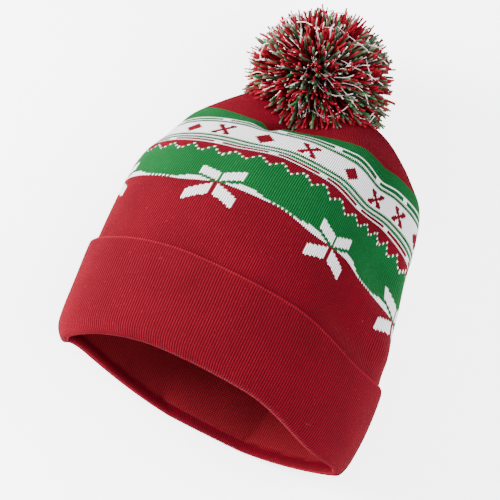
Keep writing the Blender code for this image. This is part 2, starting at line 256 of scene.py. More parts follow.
def raw_point(angle, along):
    """Points of the body's outer face, before its folds."""
    row = section_at(along)
    sine = np.sin(angle)
    cosine = np.cos(angle)
    left = -row["x_left"] * HALF_WIDTH
    right = row["x_right"] * HALF_WIDTH
    x = (left + right) / 2 + (right - left) / 2 * sine + row["skew"] * HALF_WIDTH * cosine
    lens = LENS_POWER + (1.0 - LENS_POWER) * row["roundness"]
    side_z = row["z_side"] * FRONT_DEPTH
    front_z = side_z + (row["z_front"] * FRONT_DEPTH - side_z) * cosine
    depth = np.maximum(-cosine, 0.0) ** lens
    back_z = side_z - (row["z_back"] * BACK_DEPTH + side_z) * depth
    z = np.where(cosine >= 0, front_z, back_z)
    side_y = row["y_left"] + (row["y_right"] - row["y_left"]) * (1.0 + sine) / 2
    end_y = np.where(cosine >= 0, row["y_front"], row["y_back"])
    y = HAT_LENGTH * (side_y + (end_y - side_y) * cosine * cosine)
    dying = 1.0 - smooth_step((along - SAG_FROM) / (SAG_TO - SAG_FROM))
    for middle, reach, drop in SAGS:
        turn = (np.degrees(angle) - middle + 180.0) % 360.0 - 180.0
        y = y - drop * dying * smooth_step(1.0 - np.abs(turn) / reach)
    return np.stack((x, y, np.maximum(z, -BACK_DEPTH)), axis=-1)


def unit(vectors):
    length = np.linalg.norm(vectors, axis=-1, keepdims=True)
    return vectors / np.maximum(length, 1e-12)


def outward(angle, along):
    step_angle = math.radians(1.5)
    step_along = 0.006
    low = np.maximum(along - step_along, 0.0)
    high = np.minimum(along + step_along, 1.0)
    up = raw_point(angle, high) - raw_point(angle, low)
    around = raw_point(angle + step_angle, along) - raw_point(angle - step_angle, along)
    return unit(np.cross(around, up))


def knit_point(angle, along, offset, layer):
    """Points at a distance from the body's outer face. layer is how far they lie inside
    the outermost layer, so they stay that far above the surface that the hat lies on."""
    along_here = np.clip(along, 0.0, 1.0)
    inward = fold_depth(angle, along_here)
    drawn_in = smooth_step((along_here - PLEAT_START) / (1.0 - PLEAT_START))
    near_hole = 1.0 - smooth_step((along_here - HOLE_FROM) / HOLE_REACH)
    inward = inward + PLEAT_DEPTH * drawn_in * near_hole * (1.0 - np.cos(PLEAT_COUNT * angle)) / 2
    point = raw_point(angle, along_here) + outward(angle, along_here) * (offset - inward)[..., None]
    point[..., 2] = np.maximum(point[..., 2], layer - BACK_DEPTH)
    return point


def eased(shares, places, counts):
    """Values at shares between given places, with their corners rounded off."""
    spread = np.linspace(-EASE, EASE, 9)
    inner = np.clip(shares[:, None] + spread * np.minimum(1.0, shares / EASE)[:, None]
                    * np.minimum(1.0, (1.0 - shares) / EASE)[:, None], 0.0, 1.0)
    return np.interp(inner, places, counts).mean(axis=1)


def count_out_wales(front_shares, front_wales):
    """The angle of each place round the hat, as a table of wales and angles."""
    back_wales = (front_wales[-1], front_wales[0] + WALES)
    wales, angles = [], []
    for first_degree, shares, counts in ((-90.0, front_shares, front_wales),
                                         (90.0, (0.0, 1.0), back_wales)):
        sample = np.radians(np.linspace(first_degree, first_degree + 180.0, 361))
        points = raw_point(sample, np.full(sample.shape, COUNTING_SECTION))
        steps = np.linalg.norm(np.diff(points, axis=0), axis=1)
        lengths = np.concatenate(((0.0,), np.cumsum(steps)))
        wales.append(eased(lengths / lengths[-1], shares, counts))
        angles.append(sample)
    return np.concatenate(wales), np.concatenate(angles)


BODY_WALES = count_out_wales(FRONT_SHARES, FRONT_WALES)
CUFF_WALES = count_out_wales((0.0, 1.0), (-WALES / 4, WALES / 4))


def wale_angle(wale, table=BODY_WALES):
    wales, angles = table
    turns = np.floor((wale - wales[0]) / WALES)
    return np.interp(wale - turns * WALES, wales, angles) + turns * 2 * math.pi


def length_share(height):
    """Share of the knitted length at a height above the rim."""
    return height / HAT_LENGTH


def find_origin():
    """Where the plain model's origin lies in the form's own coordinates."""
    lowest_row = length_share(0.001)
    angle = wale_angle(np.arange(0, WALES, 0.5))[None, :]
    along = np.linspace(lowest_row, 1.0, 160)[:, None]
    along, angle = np.broadcast_arrays(along, angle)
    skin = knit_point(angle, along, np.zeros(angle.shape), np.zeros(angle.shape)).reshape(-1, 3)
    low, high = (np.array(corner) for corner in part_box("crown"))
    middle = (skin.min(axis=0) + skin.max(axis=0)) / 2
    end = skin.max(axis=0)
    return np.array((middle[0] - (low[0] + high[0]) / 2, end[1] - high[1], -BACK_DEPTH))


ORIGIN = find_origin()


# Meshes

def linked_object(name, data):
    item = bpy.data.objects.new(name, data)
    bpy.context.scene.collection.objects.link(item)
    return item


def mesh_piece(name, points, quads, uv, materials, node, indexes=None):
    """One piece of the scene from arrays of points, of four-sided faces and of their UVs."""
    mesh = bpy.data.meshes.new(name)
    mesh.vertices.add(len(points))
    mesh.vertices.foreach_set("co", (points - ORIGIN).astype(np.float32).ravel())
    mesh.loops.add(quads.size)
    mesh.loops.foreach_set("vertex_index", quads.astype(np.int32).ravel())
    mesh.polygons.add(len(quads))
    mesh.polygons.foreach_set("loop_start", np.arange(0, quads.size, 4, dtype=np.int32))
    mesh.polygons.foreach_set("use_smooth", np.ones(len(quads), dtype=bool))
    if indexes is not None:
        mesh.polygons.foreach_set("material_index", indexes.astype(np.int32).ravel())
    layer = mesh.uv_layers.new(name="stitch")
    layer.data.foreach_set("uv", uv.astype(np.float32).ravel())
    mesh.update(calc_edges=True)
    for material in materials:
        mesh.materials.append(material)
    piece = linked_object(name, mesh)
    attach(piece, "root")
    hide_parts(node)


def face_places(rows, columns):
    return np.meshgrid(np.arange(rows - 1), np.arange(columns), indexing="ij")


def grid_quads(rows, columns):
    """Faces of a grid that closes on itself sideways."""
    row, column = face_places(rows, columns)
    after = (column + 1) % columns
    return np.stack((row * columns + column, row * columns + after,
                     (row + 1) * columns + after, (row + 1) * columns + column), axis=-1)


def corner_uv(left, right, low, high):
    """UVs of four-sided faces, corner by corner."""
    return np.stack((np.stack((left, low), -1), np.stack((right, low), -1),
                     np.stack((right, high), -1), np.stack((left, high), -1)), axis=2)


def grid_uv(rows, columns, per_wale, first_course, course_step):
    row, column = face_places(rows, columns)
    low = first_course + row * course_step
    return corner_uv(column / per_wale, (column + 1) / per_wale, low, low + course_step)


# Stitches: one wale across, as (place, relief, climb) with the place in wales
FINE_STITCH = ((-0.50, -GROOVE_DEPTH, LEG_RISE), (-0.25, 0.0, 0.0),
               (0.00, -CLEFT_DEPTH, -LEG_RISE), (0.25, 0.0, 0.0))
PLAIN_STITCH = ((-0.50, -GROOVE_DEPTH, 0.0), (0.0, 0.0, 0.0))


def stitch_columns(stitch):
    wale = np.arange(WALES) - WALES // 2
    place = (wale[:, None] + np.array([part[0] for part in stitch])[None, :]).ravel()
    relief = np.tile([part[1] for part in stitch], WALES)
    climb = np.tile([part[2] for part in stitch], WALES)
    return place, relief, climb


def knit_piece(name, surface, first, last, stitch, materials, node="crown",
               chart=None, step=1.0):
    """A field of stitches from one course to another on a surface(wale, course, relief)."""
    place, relief, climb = stitch_columns(stitch)
    courses = np.arange(first, last + step / 2, step)
    course = courses[:, None] + climb[None, :]
    wale = np.broadcast_to(place[None, :], course.shape)
    raised = np.broadcast_to(relief[None, :], course.shape)
    points = surface(wale, course, raised).reshape(-1, 3)
    rows, columns = course.shape
    per_wale = len(stitch)
    indexes = None
    if chart:
        wales = np.arange(columns) // per_wale - WALES // 2
        indexes = chart(wales[None, :], np.round(courses[:-1])[:, None])
    quads = grid_quads(rows, columns).reshape(-1, 4)
    uv = grid_uv(rows, columns, per_wale, first, step)
    mesh_piece(name, points, quads, uv, materials, node, indexes)


def hang(wale, course):
    """How far a stitch lies above its course's even place, in courses."""
    share = np.clip(course / RIDGE_TOP_COURSE, 0.0, 1.0)
    ridge = RIDGE_WALE + (RIDGE_WALE_ABOVE - RIDGE_WALE) * share
    rise = RIDGE_RISE + (RIDGE_RISE_ABOVE - RIDGE_RISE) * share
    away = np.abs(wrapped(wale - ridge))
    height = rise - (rise + SIDE_SAG) * smooth_step((away - RIDGE_WIDTH) / SAG_WIDTH)
    place = wrapped(wale)
    side = (smooth_step((place - SPREAD_FROM) / SPREAD_GROWS)
            * (1.0 - smooth_step((place - SPREAD_TO) / SPREAD_FADES)))
    upwards = smooth_step(course / SPREAD_COURSES)
    height = height + side * (SPREAD_LOW + (SPREAD_HIGH - SPREAD_LOW) * upwards)
    grown = smooth_step((course - HANG_FROM) / HANG_GROWS)
    faded = 1.0 - smooth_step((course - HANG_TO) / HANG_FADES)
    return height * grown * faded


def under_cuff(along):
    """How far the body is held up by the cuff below it: it settles above the cuff."""
    settle = 1.0 - smooth_step((along - length_share(CUFF_HEIGHT)) / SETTLE_REACH)
    return (CUFF_WALL + FIT_GAP) * settle


def body_surface(wale, course, relief):
    """The outer face of the body; past the last course it closes over the gather."""
    laid = np.interp(course, *np.array(LAID_COURSES).T)
    along = np.interp(laid + hang(wale, laid), *np.array(COURSE_RINGS).T)
    layer = under_cuff(along) - relief
    fade = 1.0 - FLATTENING * smooth_step((along - FLATTEN_FROM) / FLATTEN_REACH)
    return knit_point(wale_angle(wale), along, relief * fade, layer)


def cuff_profile(run):
    """The cuff's section by its length from inside its upper edge, over the edge, down its
    face, round the rim and up the inside: height, offset and the facing of each."""
    lip = CUFF_WALL / 2
    lip_height = CUFF_HEIGHT - lip
    lip_offset = FIT_GAP + lip
    bend = (BODY_WALL + FIT_GAP + CUFF_WALL) / 2
    bend_offset = bend - BODY_WALL
    lip_turn = math.radians(LIP_TURN)
    lip_length = lip * lip_turn
    face_length = lip_height - bend
    bend_length = bend * math.pi
    on_lip = run < lip_length
    on_face = (run >= lip_length) & (run < lip_length + face_length)
    on_bend = (run >= lip_length + face_length) & (run < lip_length + face_length + bend_length)
    turn = lip_turn - run / lip
    fold = (run - lip_length - face_length) / bend
    inside = run - lip_length - face_length - bend_length
    cases = [on_lip, on_face, on_bend]
    height = np.select(cases, [lip_height + lip * np.sin(turn), lip_height - (run - lip_length),
                               bend - bend * np.sin(fold)], bend + inside)
    offset = np.select(cases, [lip_offset + lip * np.cos(turn), FIT_GAP + CUFF_WALL + 0 * run,
                               bend_offset + bend * np.cos(fold)], -BODY_WALL)
    facing_up = np.select(cases, [np.sin(turn), 0 * run, -np.sin(fold)], 0.0)
    facing_out = np.select(cases, [np.cos(turn), 1.0 + 0 * run, np.cos(fold)], -1.0)
    return height, offset, facing_up, facing_out


def cuff_surface(wale, course, relief):
    height, offset, facing_up, facing_out = cuff_profile(np.maximum(course, 0.0) * COURSE_PITCH)
    along = (height + relief * facing_up) / HAT_LENGTH
    offset = offset + relief * facing_out
    layer = np.maximum(FIT_GAP + CUFF_WALL - offset, 0.0)
    return knit_point(wale_angle(wale, CUFF_WALES), along, offset, layer)


def inside_surface(wale, course, relief):
    """The inside of the body, by courses from the rim upwards."""
    along = np.minimum((course * COURSE_PITCH) / HAT_LENGTH, 1.0)
    layer = under_cuff(along) + BODY_WALL - relief
    return knit_point(wale_angle(wale), along, -BODY_WALL - relief, layer)


# The pattern's chart

def wrapped(wale):
    """Distance round the hat, between minus half and plus half of its wales."""
    return (wale + WALES / 2) % WALES - WALES / 2


def nearest_place(wale, places):
    """Signed distance to the nearest of several given places."""
    away = wrapped(wale[..., None] - np.array(places))
    nearest = np.abs(away).argmin(axis=-1)
    return np.take_along_axis(away, nearest[..., None], axis=-1)[..., 0]


def nearest_of(wale, count, shift):
    """Signed distance to the nearest of several evenly spaced places."""
    every = WALES / count
    return (wale - shift + every / 2) % every - every / 2


def star_chart(wale, course):
    """True where a star's petals or the white crescents between stars lie."""
    away = (wale - STAR_FROM + STAR_EVERY / 2) % STAR_EVERY - STAR_EVERY / 2
    upper = np.abs(away)
    upper_low = UPPER_COURSE + UPPER_SLANT * (upper - 1)
    petals = (upper >= 1) & (upper <= UPPER_LENGTH)
    petals &= (course >= upper_low) & (course < upper_low + UPPER_HEIGHT)
    lower = np.where((away == 0) | (away == -1), 0, np.where(away < 0, -away - 1, away))
    lower_top = LOWER_COURSE - LOWER_SLANT * (lower - 1)
    petals |= ((lower >= 1) & (lower <= LOWER_LENGTH)
               & (course <= lower_top) & (course > lower_top - LOWER_HEIGHT))
    peak = np.where(away < 0, CRESCENT_LEFT, CRESCENT_RIGHT)
    rise = (smooth_step((upper - CRESCENT_START) / (peak - CRESCENT_START))
            * (1.0 - smooth_step((upper - peak) / CRESCENT_RUN)))
    crescent = (upper >= CRESCENT_SHOWS) & (course >= 0)
    crescent &= course < CRESCENT_HEIGHT * rise - CRESCENT_SUNK
    thin_line = (upper > THIN_LINE_FROM) & (course == 0) & (wale % 2 == 0)
    return petals | crescent | thin_line


def motif_chart(wale, course):
    """True where a red cross or diamond lies in the white band."""
    result = np.zeros(wale.shape, dtype=bool)
    for motif, places in ((CROSS_MOTIF, CROSS_WALES), (DIAMOND_MOTIF, DIAMOND_WALES)):
        to_right = smooth_step((wrapped(wale) - DRAWN_OUT_FROM) / DRAWN_OUT_REACH)
        drawn_out = 1.0 + DRAWN_OUT * to_right
        across = np.round(nearest_place(wale, places) / drawn_out).astype(int)
        cells = np.array([[letter == "#" for letter in row] for row in motif])
        column = across + cells.shape[1] // 2
        row = (course - MOTIF_COURSE).astype(int)
        inside = (column >= 0) & (column < cells.shape[1]) & (row >= 0) & (row < cells.shape[0])
        column = np.clip(column, 0, cells.shape[1] - 1)
        row = np.clip(row, 0, cells.shape[0] - 1)
        result |= inside & cells[row, column]
    return result


def pattern_chart(wale, course):
    """The colour of each stitch."""
    wale, course = np.broadcast_arrays(wale.astype(float), course.astype(float))
    colour = np.full(course.shape, RED)
    for first, last, band in BANDS:
        colour = np.where((course >= first) & (course <= last), band, colour)
    tooth = nearest_of(wale, ZIGZAG_TEETH, ZIGZAG_SHIFT) / (WALES / ZIGZAG_TEETH / 2)
    edge = ZIGZAG_COURSE + ZIGZAG_HEIGHT * (1.0 - 2.0 * np.abs(tooth))
    in_zigzag = (course >= ZIGZAG_FIRST) & (course <= ZIGZAG_LAST)
    colour = np.where(in_zigzag & (course > edge + 0.5), RED, colour)
    on_line = in_zigzag & (np.abs(course - edge) <= ZIGZAG_LINE) & (wale % 2 == 0)
    colour = np.where(on_line, WHITE, colour)
    for count, shift, first, last in DASHES:
        gap = np.abs(nearest_of(wale, count, shift)) < DASH_WALES / 2
        colour = np.where(gap & (course >= first) & (course <= last), WHITE, colour)
    colour = np.where(motif_chart(wale, course), RED, colour)
    return np.where(star_chart(wale, course), WHITE, colour)


def highlight_chart(wale, course):
    """The cuff's edges with a painted highlight, as the second material."""
    wale, course = np.broadcast_arrays(wale, course)
    painted_highlight = np.zeros(course.shape, dtype=int)
    for first, last in HIGHLIT_CUFF_COURSES:
        painted_highlight |= (course >= first) & (course <= last)
    return painted_highlight


# Materials

class Nodes:
    """Shorthand for building a material's nodes."""

    def __init__(self, name):
        self.material = bpy.data.materials.new(name)
        self.material.use_nodes = True
        self.tree = self.material.node_tree
        self.shader = self.tree.nodes["Principled BSDF"]

    def add(self, kind, inputs=(), **settings):
        node = self.tree.nodes.new(kind)
        for key, value in settings.items():
            setattr(node, key, value)
        for key, value in dict(inputs).items():
            self.put(node.inputs[key], value)
        return node

    def put(self, socket, value):
        if isinstance(value, bpy.types.NodeSocket):
            self.tree.links.new(value, socket)
        else:
            socket.default_value = value

    def maths(self, operation, first, second=0.0, clamp=False):
        return self.add("ShaderNodeMath", {0: first, 1: second}, operation=operation,
                        use_clamp=clamp).outputs[0]

    def half_wave(self, wave):
        """A sine or cosine moved to between 0 and 1."""
        return self.maths("MULTIPLY", self.maths("ADD", wave, 1.0), 0.5)

    def mix(self, share, first, second):
        node = self.add("ShaderNodeMix", {0: share, 6: first, 7: second}, data_type="RGBA")
        return node.outputs[2]

    def noise(self, vector, scale, detail=2.0):
        return self.add("ShaderNodeTexNoise", {"Vector": vector, "Scale": scale,
                                               "Detail": detail}).outputs[0]

    def shade(self, inputs):
        for key, value in inputs.items():
            self.put(self.shader.inputs[key], value)

    def finish(self, base, height, bump_strength, roughness, sheen, sheen_tint):
        """Connects a colour and a height, and sets how the wool takes the light."""
        bump = self.add("ShaderNodeBump", {"Strength": bump_strength, "Distance": 0.0003,
                                           "Height": height})
        self.shade({"Base Color": base, "Normal": bump.outputs[0], "Roughness": roughness,
                    "Sheen Weight": sheen, "Sheen Roughness": 0.5, "Sheen Tint": sheen_tint,
                    "Specular IOR Level": 0.08})
        return self.material


def linear(red, green, blue):
    """A picture's colour as the shader wants it."""
    values = []
    for value in (red, green, blue):
        value = value / 255.0
        values.append(value / 12.92 if value <= 0.04045 else ((value + 0.055) / 1.055) ** 2.4)
    return (*values, 1.0)


def darker(colour, share):
    return tuple(share * value for value in colour[:3]) + (1.0,)


# How fine the noises in the wool and in the yarn are
FIBRE_SCALE, FLECK_SCALE, PATCH_SCALE = 2600.0, 700.0, 38.0
STRAND_FIBRE_SCALE, TUFT_SCALE = 1800.0, 160.0
UNEVEN_SCALE = 1.3


def knit_material(name, colour, deep, light, sheen=0.35):
    """Wool stitches with painted shade in the grooves between wales and between courses, pale
    flecks, stray fibres and uneven dye.
    """
    nodes = Nodes(name)
    stitch = nodes.add("ShaderNodeUVMap", uv_map="stitch").outputs[0]
    parts = nodes.add("ShaderNodeSeparateXYZ", {0: stitch})
    around = nodes.maths("COSINE", nodes.maths("MULTIPLY", parts.outputs[0], 2 * math.pi))
    length = nodes.maths("COSINE", nodes.maths("MULTIPLY", parts.outputs[1], 2 * math.pi))
    groove = nodes.maths("POWER", nodes.half_wave(around), 2.0)
    notch = nodes.maths("POWER", nodes.half_wave(length), 3.0)
    place = nodes.add("ShaderNodeTexCoord").outputs["Object"]
    fibres = nodes.noise(place, FIBRE_SCALE, 3.0)
    patches = nodes.noise(place, PATCH_SCALE, 2.0)
    flecks = nodes.noise(place, FLECK_SCALE, 1.0)
    uneven = nodes.noise(stitch, UNEVEN_SCALE, 1.0)
    groove = nodes.maths("MULTIPLY", groove, nodes.maths("ADD", uneven, 0.55), clamp=True)
    # painted shade: the grooves between wales and the notches between courses are drawn darker,
    # unevenly
    shade = nodes.maths("ADD", nodes.maths("MULTIPLY", groove, 0.95),
                        nodes.maths("MULTIPLY", notch, 0.18))
    base = nodes.mix(nodes.maths("MULTIPLY", patches, 0.9, clamp=True), deep, colour)
    pale = nodes.maths("MULTIPLY", nodes.maths("SUBTRACT", flecks, 0.58), 0.9, clamp=True)
    base = nodes.mix(pale, base, light)
    base = nodes.mix(shade, base, darker(deep, 0.25))
    height = nodes.maths("ADD", nodes.maths("MULTIPLY", notch, -0.7),
                         nodes.maths("MULTIPLY", fibres, 0.8))
    return nodes.finish(base, height, bump_strength=0.7, roughness=0.9, sheen=sheen,
                        sheen_tint=light)


PLY_TWIST = 3.0   # turns of the plies along a strand


def strand_material(name, colour, deep, light):
    """Cut plied yarn: its plies wind round the strand with painted shade between them, it darkens
    towards the root with painted shadow, and its end frays lighter.
    """
    nodes = Nodes(name)
    strand = nodes.add("ShaderNodeUVMap", uv_map="stitch").outputs[0]
    parts = nodes.add("ShaderNodeSeparateXYZ", {0: strand})
    round_strand, along_strand = parts.outputs[0], parts.outputs[1]
    wound = nodes.maths("ADD", round_strand, nodes.maths("MULTIPLY", along_strand, PLY_TWIST))
    ply = nodes.half_wave(nodes.maths("SINE", nodes.maths("MULTIPLY", wound, 4 * math.pi)))
    place = nodes.add("ShaderNodeTexCoord").outputs["Object"]
    fibres = nodes.noise(place, STRAND_FIBRE_SCALE, 3.0)
    tufts = nodes.noise(place, TUFT_SCALE, 1.0)
    base = nodes.mix(nodes.maths("MULTIPLY", tufts, 1.1, clamp=True), deep, colour)
    # painted shade in the crevices between the plies
    base = nodes.mix(nodes.maths("MULTIPLY", ply, 0.45), base, deep)
    pale = nodes.maths("MULTIPLY", nodes.maths("SUBTRACT", fibres, 0.54), 1.2, clamp=True)
    base = nodes.mix(pale, base, light)
    # painted shadow: the strands darken towards their roots, deep in the pompom
    root = nodes.maths("SUBTRACT", 1.0, nodes.maths("MULTIPLY", along_strand, 1.4, clamp=True))
    base = nodes.mix(nodes.maths("MULTIPLY", root, 0.8), base, darker(deep, 0.3))
    tip = nodes.maths("MULTIPLY", nodes.maths("SUBTRACT", along_strand, 0.93), 12.0, clamp=True)
    base = nodes.mix(nodes.maths("MULTIPLY", tip, 0.28), base, light)
    height = nodes.maths("ADD", nodes.maths("MULTIPLY", ply, -0.8), fibres)
    return nodes.finish(base, height, bump_strength=0.8, roughness=0.92, sheen=0.03,
                        sheen_tint=light)


# Strands of yarn

ASKEW = (0.31, 0.17, 0.93)   # a direction that hardly any strand follows


def tubes(paths, radii, sides, twist_step=0.0):
    """Tubes of 4 or 6 sides along many paths, as points, four-sided faces and their UVs."""
    count, rings, _ = paths.shape
    tangents = unit(np.gradient(paths, axis=1))
    reference = unit(np.cross(paths[:, -1] - paths[:, 0], ASKEW))[:, None, :]
    first = unit(reference - (reference * tangents).sum(-1, keepdims=True) * tangents)
    second = np.cross(tangents, first)
    turn = (np.arange(sides) / sides * 2 * math.pi)[None, None, :]
    turn = turn + (np.arange(rings) * twist_step)[None, :, None]
    ring = (np.cos(turn)[..., None] * first[:, :, None, :]
            + np.sin(turn)[..., None] * second[:, :, None, :])
    points = paths[:, :, None, :] + ring * radii[:, :, None, None]
    base = (np.arange(count) * rings * sides)[:, None, None]
    quads = (base[..., None] + grid_quads(rings, sides)).reshape(-1, 4)
    row, side = face_places(rings, sides)
    uv = corner_uv(side / sides, (side + 1) / sides, row / (rings - 1), (row + 1) / (rings - 1))
    uv = np.broadcast_to(uv[None], (count, *uv.shape)).reshape(-1, 2)
    last = (base + (rings - 1) * sides).reshape(-1, 1)
    caps = [last + np.array((0, 1, 2, 3))[None, :]]
    if sides == 6:
        caps.append(last + np.array((0, 3, 4, 5))[None, :])
    caps = np.concatenate(caps)
    uv = np.concatenate((uv, np.ones((caps.size, 2))))
    return points.reshape(-1, 3), np.concatenate((quads, caps)), uv


def gather_centre():
    top = section_at(np.array([1.0]))
    left = -top["x_left"][0] * HALF_WIDTH
    right = top["x_right"][0] * HALF_WIDTH
    return np.array(((left + right) / 2, HAT_LENGTH * top["y_front"][0],
                     top["z_side"][0] * FRONT_DEPTH))


SKIN_WALES, SKIN_FROM, SKIN_RINGS = 3.0, 0.45, 60


def body_skin():
    """A coarse closed skin of the body, to keep the strands outside it."""
    wale = np.arange(0, WALES, SKIN_WALES)
    along = np.linspace(SKIN_FROM, 1.0, SKIN_RINGS)
    angle, along = np.meshgrid(wale_angle(wale), along)
    points = knit_point(angle, along, np.zeros(angle.shape), np.zeros(angle.shape))
    rows, columns = angle.shape
    quads = grid_quads(rows, columns).reshape(-1, 4)
    flat = points.reshape(-1, 3)
    centre = len(flat)
    rim = np.arange(columns) + (rows - 1) * columns
    fan = [(int(a), int(b), centre) for a, b in zip(rim, np.roll(rim, -1))]
    flat = np.concatenate((flat, gather_centre()[None]))
    return BVHTree.FromPolygons([Vector(point) for point in flat],
                                [tuple(int(i) for i in quad) for quad in quads] + fan)


def push_out(skin, points, room):
    """Moves points that lie in the body, or nearer to it than the room, out through its skin."""
    for index, point in enumerate(points):
        place, normal, _, _ = skin.find_nearest(Vector(point))
        if place is None:
            continue
        gap = (Vector(point) - place).dot(normal)
        if gap < room:
            points[index] = np.array(place + normal * room)
    return points


def spread_directions(count, random):
    """Directions all round a ball, evenly but not regularly."""
    step = np.arange(count) + 0.5
    height = 1.0 - 2.0 * step / count
    turn = step * math.pi * (3.0 - math.sqrt(5.0))
    flat = np.sqrt(1.0 - height * height)
    directions = np.stack((flat * np.cos(turn), flat * np.sin(turn), height), axis=-1)
    return unit(directions + random.normal(0.0, DIRECTION_JITTER, directions.shape))


POMPOM_CENTRE = np.array((gather_centre()[0] + POMPOM_LEAN, HAT_LENGTH + POMPOM_RISE,
                          POMPOM_RADIUS - BACK_DEPTH))
PARTING = unit(np.array((-0.36, -0.15, 0.92)))   # the way that the yarn falls apart
PARTING_SPREAD = 0.62        # power that draws strands away from the parting
SPILL = 0.22                 # how much longer it lies over the crown
SPILL_WAY = unit(np.array((0.15, -0.85, 0.5)))
POMPOM_SEED = 12
DIRECTION_JITTER = 0.07
STRAND_RINGS = 8
KEEPS_ON, TURNS = 0.4, 0.6   # shares of the old and of the new direction at each ring
LOCK_COUNT = 560
LOCK_STRANDS = 5
LOCK_SPREAD = 0.085          # how far the strands of a lock stand apart
STRAY_SHARE = 0.22           # of strands that don't have their lock's colour
YARN_ROOM, WHITE_ROOM = 0.0008, 0.0005   # kept between a strand and what it lies on
# Shortest and longest, as shares of the pompom's radius
LOCK_LENGTHS, STRAND_LENGTHS, WHITE_LENGTHS = (0.90, 1.05), (0.90, 1.12), (0.80, 1.12)
YARN_RADII = (0.00050, 0.00082)
YARN_SHARES = (("red", 0.0, 0.60), ("green", 0.60, 0.93), ("leaf", 0.93, 1.0))
WHITE_COUNT, WHITE_RADIUS = 620, 0.00028
THREAD_COUNT, THREAD_RINGS, THREAD_RADIUS = 44, 14, 0.00036
# Of a loose thread, in radians: its start from the parting, its steps and its turn at each
THREAD_PLACES, THREAD_STEPS, THREAD_CURL = (0.15, 1.15), (0.030, 0.062), 0.10
# How far out it lies at the parting, how much further beyond it, and within how many radians
THREAD_LOW, THREAD_RISE, THREAD_RISE_OVER = 0.72, 0.30, 1.1


def fall_apart(directions):
    """Turns directions near the parting further away from it."""
    cosine = np.clip(directions @ PARTING, -1.0, 1.0)
    angle = np.arccos(cosine)
    half = math.pi / 2
    wider = np.where(angle < half, half * (angle / half) ** PARTING_SPREAD, angle)
    side = unit(directions - cosine[:, None] * PARTING)
    return np.cos(wider)[:, None] * PARTING + np.sin(wider)[:, None] * side


def grow_strands(skin, directions, lengths, room, random, wobble, root):
    """Paths of strands that start at a share of the pompom's radius, bend apart, and lie on
    what they meet."""
    ends = fall_apart(directions)
    count = len(directions)
    rings = STRAND_RINGS
    paths = np.zeros((count, rings, 3))
    paths[:, 0] = POMPOM_CENTRE + directions * (root * POMPOM_RADIUS)
    step = lengths * (1.0 - root) / (rings - 1)
    wave = random.normal(0.0, wobble, (count, rings, 3))
    heading = directions.copy()
    for ring in range(1, rings):
        share = ring / (rings - 1)
        aim = unit(directions * (1.0 - share) + ends * share)
        heading = unit(KEEPS_ON * heading + TURNS * aim + wave[:, ring])
        point = paths[:, ring - 1] + heading * step[:, None]
        point = push_out(skin, point, room)
        point[:, 2] = np.maximum(point[:, 2], room - BACK_DEPTH)
        heading = unit(point - paths[:, ring - 1])
        paths[:, ring] = point
    return paths


def grow_yarn(skin, materials, random):
    """Locks of a few strands each, mostly of one colour, all round the pompom."""
    locks = spread_directions(LOCK_COUNT, random)
    directions = unit(np.repeat(locks, LOCK_STRANDS, axis=0)
                      + random.normal(0.0, LOCK_SPREAD, (LOCK_COUNT * LOCK_STRANDS, 3)))
    lock_length = np.repeat(random.uniform(*LOCK_LENGTHS, LOCK_COUNT), LOCK_STRANDS)
    spill = 1.0 + SPILL * np.clip(fall_apart(directions) @ SPILL_WAY, 0.0, 1.0)
    own_length = random.uniform(*STRAND_LENGTHS, len(directions))
    lengths = POMPOM_RADIUS * lock_length * own_length * spill
    paths = grow_strands(skin, directions, lengths, YARN_ROOM, random, wobble=0.15, root=0.12)
    share = np.linspace(0.0, 1.0, STRAND_RINGS)[None, :]
    thick = random.uniform(*YARN_RADII, (len(directions), 1))
    radii = thick * (0.85 + 0.35 * share - 0.25 * smooth_step((share - 0.85) / 0.15))
    choice = np.repeat(random.random(LOCK_COUNT), LOCK_STRANDS)
    stray = random.random(len(directions)) < STRAY_SHARE
    choice = np.where(stray, random.random(len(directions)), choice)
    for name, low, high in YARN_SHARES:
        chosen = (choice >= low) & (choice < high)
        points, quads, uv = tubes(paths[chosen], radii[chosen], 4, 0.5)
        mesh_piece("pompom_" + name, points, quads, uv, [materials[name]], "pompom")


def grow_white(skin, material, random):
    """Thin white threads among the yarn."""
    directions = spread_directions(WHITE_COUNT, random)
    lengths = POMPOM_RADIUS * random.uniform(*WHITE_LENGTHS, WHITE_COUNT)
    paths = grow_strands(skin, directions, lengths, WHITE_ROOM, random, wobble=0.20, root=0.35)
    share = np.linspace(0.0, 1.0, STRAND_RINGS)[None, :]
    frayed = 1.0 + 0.5 * smooth_step((share - 0.9) / 0.1)
    points, quads, uv = tubes(paths, np.full((WHITE_COUNT, STRAND_RINGS), WHITE_RADIUS) * frayed, 4)
    mesh_piece("pompom_white", points, quads, uv, [material], "pompom")


